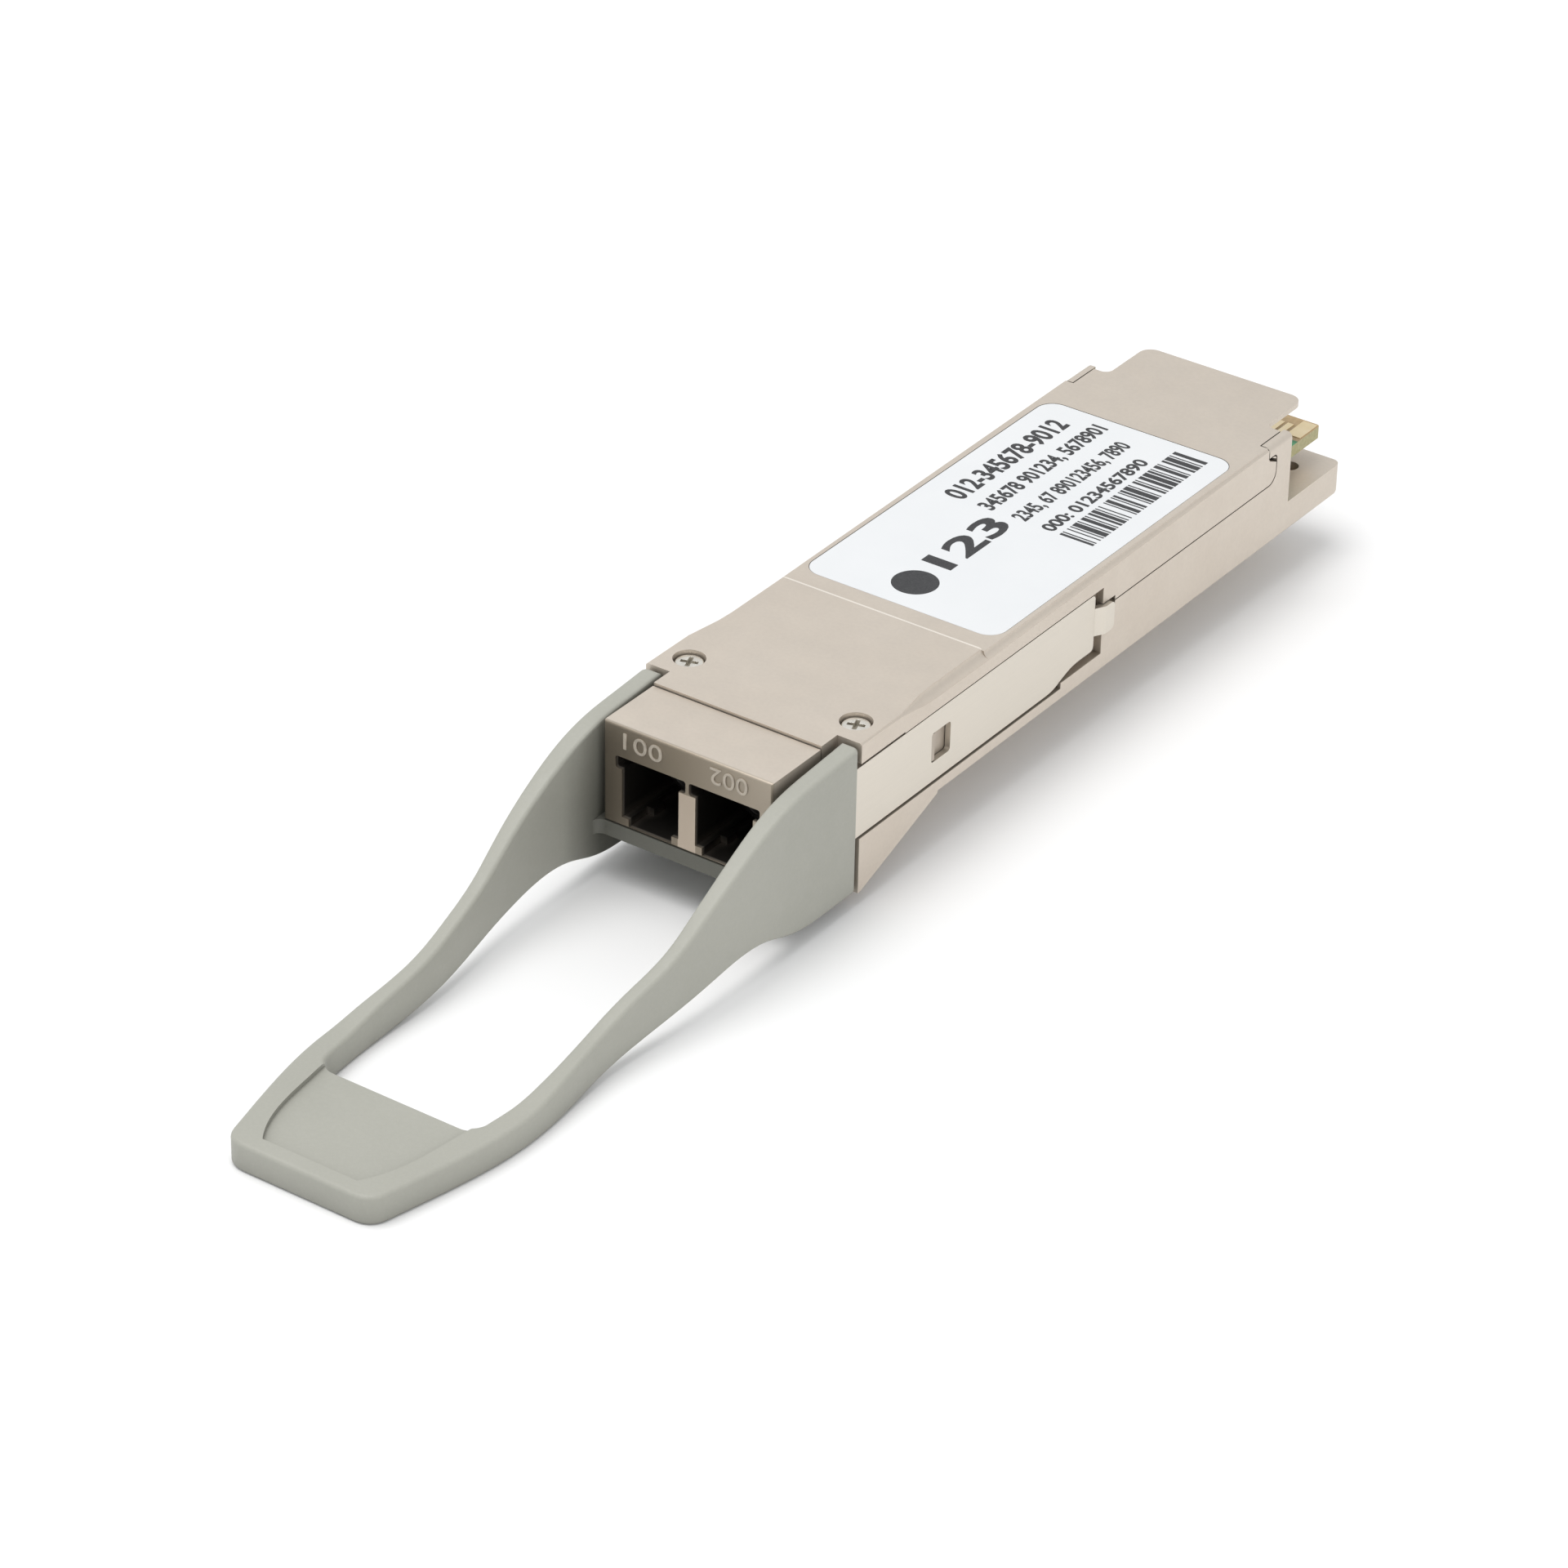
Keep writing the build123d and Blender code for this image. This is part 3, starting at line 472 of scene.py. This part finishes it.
crisp_group = crisp_edges()
slot_of = {subpart["node"]: subpart["material_slot"] for subpart in frame["record"]["subparts"]}
for name, node in frame["nodes"].items():
    finish_node(node, MATERIALS[slot_of[name]], crisp_group, EDGE_WIDTH.get(name, USUAL_EDGE))


# ---------------------------------------------------- numerals and print, in mm
DIGIT_HEIGHT = 0.73  # a digit's height as a part of the font's size

# Raised numbers over the ports, upside down as seen from the front
NUMBER_AXES = (-RIGHT, -UP, -BACK)
NUMBER_SINK = 0.02
NUMBER_RISE = 0.10
NUMBER_TOP = 8.0
NUMBER_HEIGHT = 1.35
PORT_NUMBERS = (("001", -2.1, 3.3), ("002", 5.1, 3.15))  # digits, right end, width

# Ink on the label, read along Y with the tops of the digits toward the left side
PRINT_AXES = (BACK, -RIGHT, UP)
LABEL_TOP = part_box("product_label")[1].z / MM
INK_THICKNESS = 0.012
INK_SINK = 0.004
PRINT_LINES = (  # name, digits, lower left corner, size, boldness
    ("print_group", "123", (0.27, 31.6), (8.3, 2.55), 0.10),
    ("print_line_1", "012-345678-9012", (-4.85, 40.8), (14.6, 1.8), 0.08),
    ("print_line_2", "345678 901234, 5678901", (-2.2, 40.8), (15.8, 1.4), 0.06),
    ("print_line_3", "2345, 67 890123456, 7890", (0.65, 40.9), (14.5, 1.35), 0.055),
    ("print_line_4", "000: 01234567890", (3.1, 40.8), (13.2, 1.15), 0.05),
)

# Generic bars, a fixed run of bars and gaps in units, that is no valid code
BAR_RUN = "2113121141123112213112141132112311214113211231412112311321411231211341"
BAR_UNIT = 0.14
BARS_X = (3.7, 6.6)
BARS_Y = (40.8, 56.6)

# A plain disc at the head of the label
DISC_CENTRE = (-0.7, 28.65)
DISC_RADIUS = 1.75
DISC_SIDES = 48


def add_piece(name, mesh, material):
    """Makes a mesh a piece of the object."""
    mesh.name = name
    mesh.materials.clear()
    mesh.materials.append(material)
    piece = bpy.data.objects.new(name, mesh)
    bpy.context.scene.collection.objects.link(piece)
    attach(piece, "module")


def numerals(name, text, corner, size, axes, rise, material, bold=0.0):
    """Digits as a thin raised piece, from the text's lower left corner, of this width and height."""
    width, height = size
    curve = bpy.data.curves.new(name, "FONT")
    curve.body = text
    curve.size = height / DIGIT_HEIGHT
    curve.extrude = rise / 2
    curve.offset = bold
    curve.resolution_u = 4
    source = bpy.data.objects.new(name + "_outline", curve)
    bpy.context.scene.collection.objects.link(source)
    bpy.context.view_layer.update()
    mesh = bpy.data.meshes.new_from_object(source.evaluated_get(bpy.context.evaluated_depsgraph_get()))
    bpy.data.objects.remove(source)
    left = min(vertex.co.x for vertex in mesh.vertices)
    right = max(vertex.co.x for vertex in mesh.vertices)
    fit = width / (right - left)
    mesh.transform(Matrix.Translation((-left * fit, 0, 0)) @ Matrix.Diagonal((fit, 1, 1, 1)))
    across, along, out = axes
    place = Matrix((across, along, out)).transposed().to_4x4()
    place.translation = corner + out * rise / 2
    mesh.transform(Matrix.Scale(MM, 4) @ place)
    add_piece(name, mesh, material)


def printed_shapes(name, outlines):
    """Thin shapes of ink on the label, from (x, y) outlines that run anticlockwise seen from above."""
    verts = []
    faces = []
    for outline in outlines:
        count = len(outline)
        low = [len(verts) + index for index in range(count)]
        high = [index + count for index in low]
        for rise in (-INK_SINK, INK_THICKNESS - INK_SINK):
            verts += [Vector((x, y, LABEL_TOP + rise)) * MM for x, y in outline]
        faces.append(low[::-1])
        faces.append(high)
        for here in range(count):
            after = (here + 1) % count
            faces.append((low[here], low[after], high[after], high[here]))
    mesh = bpy.data.meshes.new(name)
    mesh.from_pydata(verts, [], faces)
    mesh.validate()
    mesh.update()
    add_piece(name, mesh, INK)


def bar_outlines():
    """The bars that fit between the row's two ends."""
    near, far = BARS_X
    start, last = BARS_Y
    outlines = []
    for index, units in enumerate(BAR_RUN):
        if start > last:
            break
        end = start + int(units) * BAR_UNIT
        if index % 2 == 0:
            outlines.append(((far, start), (far, end), (near, end), (near, start)))
        start = end
    return outlines


def disc_outline():
    """A many-sided polygon round the disc's centre."""
    x, y = DISC_CENTRE
    turns = [2 * math.pi * side / DISC_SIDES for side in range(DISC_SIDES)]
    return [(x + DISC_RADIUS * math.cos(turn), y + DISC_RADIUS * math.sin(turn)) for turn in turns]


for text, right_end, width in PORT_NUMBERS:
    numerals(
        "port_number_" + text, text, Vector((right_end, NUMBER_SINK, NUMBER_TOP)),
        (width, NUMBER_HEIGHT), NUMBER_AXES, NUMBER_RISE, NUMERALS,
    )
for name, text, (x, y), size, bold in PRINT_LINES:
    corner = Vector((x, y, LABEL_TOP - INK_SINK))
    numerals(name, text, corner, size, PRINT_AXES, INK_THICKNESS, INK, bold)
printed_shapes("print_bars", bar_outlines())
printed_shapes("print_disc", [disc_outline()])


# ---------------------------------------------------------------- stage, in metres
FLOOR_REACH = 3.0
LAMP_TARGET = Vector((0.0, 0.012, 0.0))
LAMPS = (  # name, place, size, power, colour
    ("key", (-0.10, -0.10, 0.62), (0.45, 0.45), 2.55, (1.0, 0.99, 0.985)),
    ("left_fill", (-0.60, -0.25, 0.30), (0.5, 0.5), 0.4, (1.0, 1.0, 1.0)),
    ("right_fill", (0.64, -0.12, 0.26), (0.5, 0.4), 0.6, (1.0, 0.97, 0.93)),
)
CAMERA_PLACE = (0.202774, -0.281517, 0.219441)
CAMERA_RIGHT = Vector((0.81606, 0.57770, 0.01773))
CAMERA_UP = Vector((-0.31513, 0.41901, 0.85154))
CAMERA_FORWARD = Vector((-0.48451, 0.70050, -0.52398))


def pale_floor():
    """A matte, nearly white surface with a very faint cloud in it."""
    s = Shader("pale_floor")
    s.set(Base_Color=s.vary(s.noise(60.0, 2.0), (0.86, 0.86, 0.86), (0.88, 0.88, 0.88)))
    s.set(Roughness=0.9, Specular_IOR_Level=0.1)
    return s.material


def make_floor(height):
    """A wide floor at this height."""
    signs = ((-1, -1), (1, -1), (1, 1), (-1, 1))
    corners = [(x * FLOOR_REACH, y * FLOOR_REACH, height) for x, y in signs]
    mesh = bpy.data.meshes.new("floor")
    mesh.from_pydata(corners, [], [(0, 1, 2, 3)])
    mesh.materials.append(pale_floor())
    floor = bpy.data.objects.new("floor", mesh)
    bpy.context.scene.collection.objects.link(floor)
    return floor


def make_world():
    """An even, faintly cool light from all round."""
    world = bpy.data.worlds.new("studio")
    bpy.context.scene.world = world
    world.use_nodes = True
    background = world.node_tree.nodes["Background"]
    background.inputs["Color"].default_value = (0.97, 0.985, 1.0, 1.0)
    background.inputs["Strength"].default_value = 0.745


def make_lamp(name, place, size, power, colour):
    """A soft rectangular studio lamp aimed at the module."""
    light = bpy.data.lights.new(name, "AREA")
    light.shape = "RECTANGLE"
    light.size, light.size_y = size
    light.energy = power
    light.color = colour
    lamp = bpy.data.objects.new(name, light)
    lamp.location = place
    lamp.rotation_euler = (LAMP_TARGET - Vector(place)).to_track_quat("-Z", "Y").to_euler()
    bpy.context.scene.collection.objects.link(lamp)


def make_camera():
    """A camera where the photograph was taken from."""
    lens = bpy.data.cameras.new("camera")
    lens.sensor_width = 36.0
    lens.lens = 136.7
    lens.clip_start = 0.01
    camera = bpy.data.objects.new("camera", lens)
    turn = Matrix((CAMERA_RIGHT, CAMERA_UP, -CAMERA_FORWARD)).transposed()
    camera.matrix_world = Matrix.Translation(CAMERA_PLACE) @ turn.to_4x4()
    bpy.context.scene.collection.objects.link(camera)
    bpy.context.scene.camera = camera


floor_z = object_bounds()[0].z
floor = make_floor(floor_z)
make_world()
for lamp_facts in LAMPS:
    make_lamp(*lamp_facts)
make_camera()
bpy.context.scene.view_settings.view_transform = "Standard"
